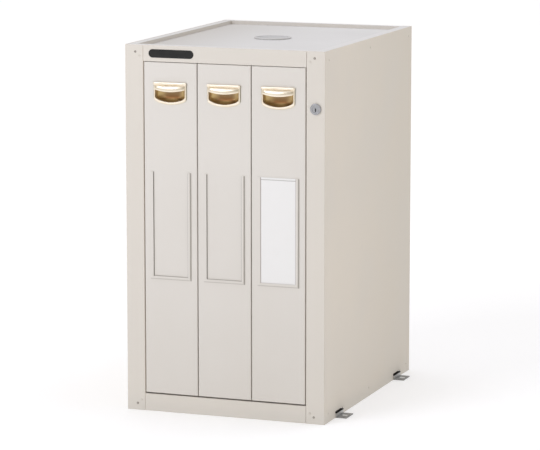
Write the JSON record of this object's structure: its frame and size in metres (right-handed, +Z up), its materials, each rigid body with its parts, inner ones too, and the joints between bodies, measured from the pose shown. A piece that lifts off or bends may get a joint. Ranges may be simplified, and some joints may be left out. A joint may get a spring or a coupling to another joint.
{
  "type": "chemical storage cabinet",
  "caption": "Free-standing steel cabinet with tall narrow pull-out racks on telescopic slides, cup handles, card holders, a common lock and floor anchors.",
  "frame": {"origin": "on the floor, under the middle of the overall box (body, handles and floor anchors)", "axes": "+Z up, -Y out of the front where the racks pull out, +X to the right of someone facing the front"},
  "size_m": [0.505, 0.6094, 0.8],
  "materials": {
    "body_paint": "fine powder coat, satin",
    "top_paint": "fine powder coat, satin",
    "front_paint": "fine powder coat, satin",
    "rack_paint": "fine powder coat, satin",
    "tray_steel": "brushed stainless",
    "zinc_steel": "bright zinc plate",
    "rivet_steel": "bare rivet",
    "lock_chrome": "satin chrome plate",
    "handle_gold": "bright champagne-gold plate on a moulding",
    "plate_black": "semi-gloss",
    "nylon": "natural moulded nylon",
    "card_white": "smooth"
  },
  "bodies": {
    "cabinet": {"left_side_panel": "body_paint", "right_side_panel": "body_paint", "back_panel": "body_paint", "top_panel": "top_paint", "base_panel": "body_paint", "top_front_rail": "body_paint", "bottom_front_rail": "body_paint", "vent_cover": "top_paint", "nameplate": "plate_black", "front_rivets": "rivet_steel", "side_rivets": "rivet_steel", "left_anchor_brackets": "zinc_steel", "right_anchor_brackets": "zinc_steel", "top_guide_channels": "zinc_steel", "lock_housing": "lock_chrome", "lock_nut": "lock_chrome", "lock_bar_keepers": "nylon", "left_slide_outer": "zinc_steel", "centre_slide_outer": "zinc_steel", "right_slide_outer": "zinc_steel"},
    "left_rack": {"left_front": "front_paint", "left_carriage": "rack_paint", "left_lock_catch": "zinc_steel", "left_handle_face": "handle_gold", "left_handle_cup": "handle_gold", "left_card_holder": "front_paint", "left_top_glide": "nylon", "left_slide_inner": "zinc_steel", "left_tray_1": "tray_steel", "left_tray_2": "tray_steel", "left_tray_3": "tray_steel"},
    "left_slide_middle": {"left_slide_mid": "zinc_steel"},
    "centre_rack": {"centre_front": "front_paint", "centre_carriage": "rack_paint", "centre_lock_catch": "zinc_steel", "centre_handle_face": "handle_gold", "centre_handle_cup": "handle_gold", "centre_card_holder": "front_paint", "centre_top_glide": "nylon", "centre_slide_inner": "zinc_steel", "centre_tray_1": "tray_steel", "centre_tray_2": "tray_steel", "centre_tray_3": "tray_steel"},
    "centre_slide_middle": {"centre_slide_mid": "zinc_steel"},
    "right_rack": {"right_front": "front_paint", "right_carriage": "rack_paint", "right_lock_catch": "zinc_steel", "right_handle_face": "handle_gold", "right_handle_cup": "handle_gold", "right_card_holder": "front_paint", "right_top_glide": "nylon", "right_slide_inner": "zinc_steel", "right_tray_1": "tray_steel", "right_tray_2": "tray_steel", "right_tray_3": "tray_steel"},
    "right_slide_middle": {"right_slide_mid": "zinc_steel"},
    "lock_key_plug": {"lock_plug": "lock_chrome", "lock_cam": "zinc_steel"},
    "locking_bar": {"lock_bar": "zinc_steel"},
    "card": {"label_card": "card_white"}
  },
  "joints": [
    {"name": "left_rack_slide", "type": "slide", "parent": "cabinet", "child": "left_rack", "axis": [0, -1, 0], "range_m": [0, 0.46]},
    {"name": "centre_rack_slide", "type": "slide", "parent": "cabinet", "child": "centre_rack", "axis": [0, -1, 0], "range_m": [0, 0.46]},
    {"name": "right_rack_slide", "type": "slide", "parent": "cabinet", "child": "right_rack", "axis": [0, -1, 0], "range_m": [0, 0.46]},
    {"name": "left_slide_middle_slide", "type": "slide", "parent": "cabinet", "child": "left_slide_middle", "axis": [0, -1, 0], "range_m": [0, 0.23]},
    {"name": "centre_slide_middle_slide", "type": "slide", "parent": "cabinet", "child": "centre_slide_middle", "axis": [0, -1, 0], "range_m": [0, 0.23]},
    {"name": "right_slide_middle_slide", "type": "slide", "parent": "cabinet", "child": "right_slide_middle", "axis": [0, -1, 0], "range_m": [0, 0.23]},
    {"name": "lock_turn", "type": "hinge", "parent": "cabinet", "child": "lock_key_plug", "pos_m": [0.2065, -0.29525, 0.678], "axis": [0, 1, 0], "range_deg": [0, 90]},
    {"name": "locking_bar_drop", "type": "slide", "parent": "cabinet", "child": "locking_bar", "axis": [0, 0, -1], "range_m": [0, 0.01]},
    {"name": "card_lift", "type": "slide", "parent": "right_rack", "child": "card", "axis": [0, 0, 1], "range_m": [0, 0.12]}
  ],
  "couplings": [
    {"joint": "left_slide_middle_slide", "follows": "left_rack_slide", "ratio": 0.5},
    {"joint": "centre_slide_middle_slide", "follows": "centre_rack_slide", "ratio": 0.5},
    {"joint": "right_slide_middle_slide", "follows": "right_rack_slide", "ratio": 0.5},
    {"joint": "lock_turn", "follows": "locking_bar_drop", "rad_per_m": 157.08}
  ]
}
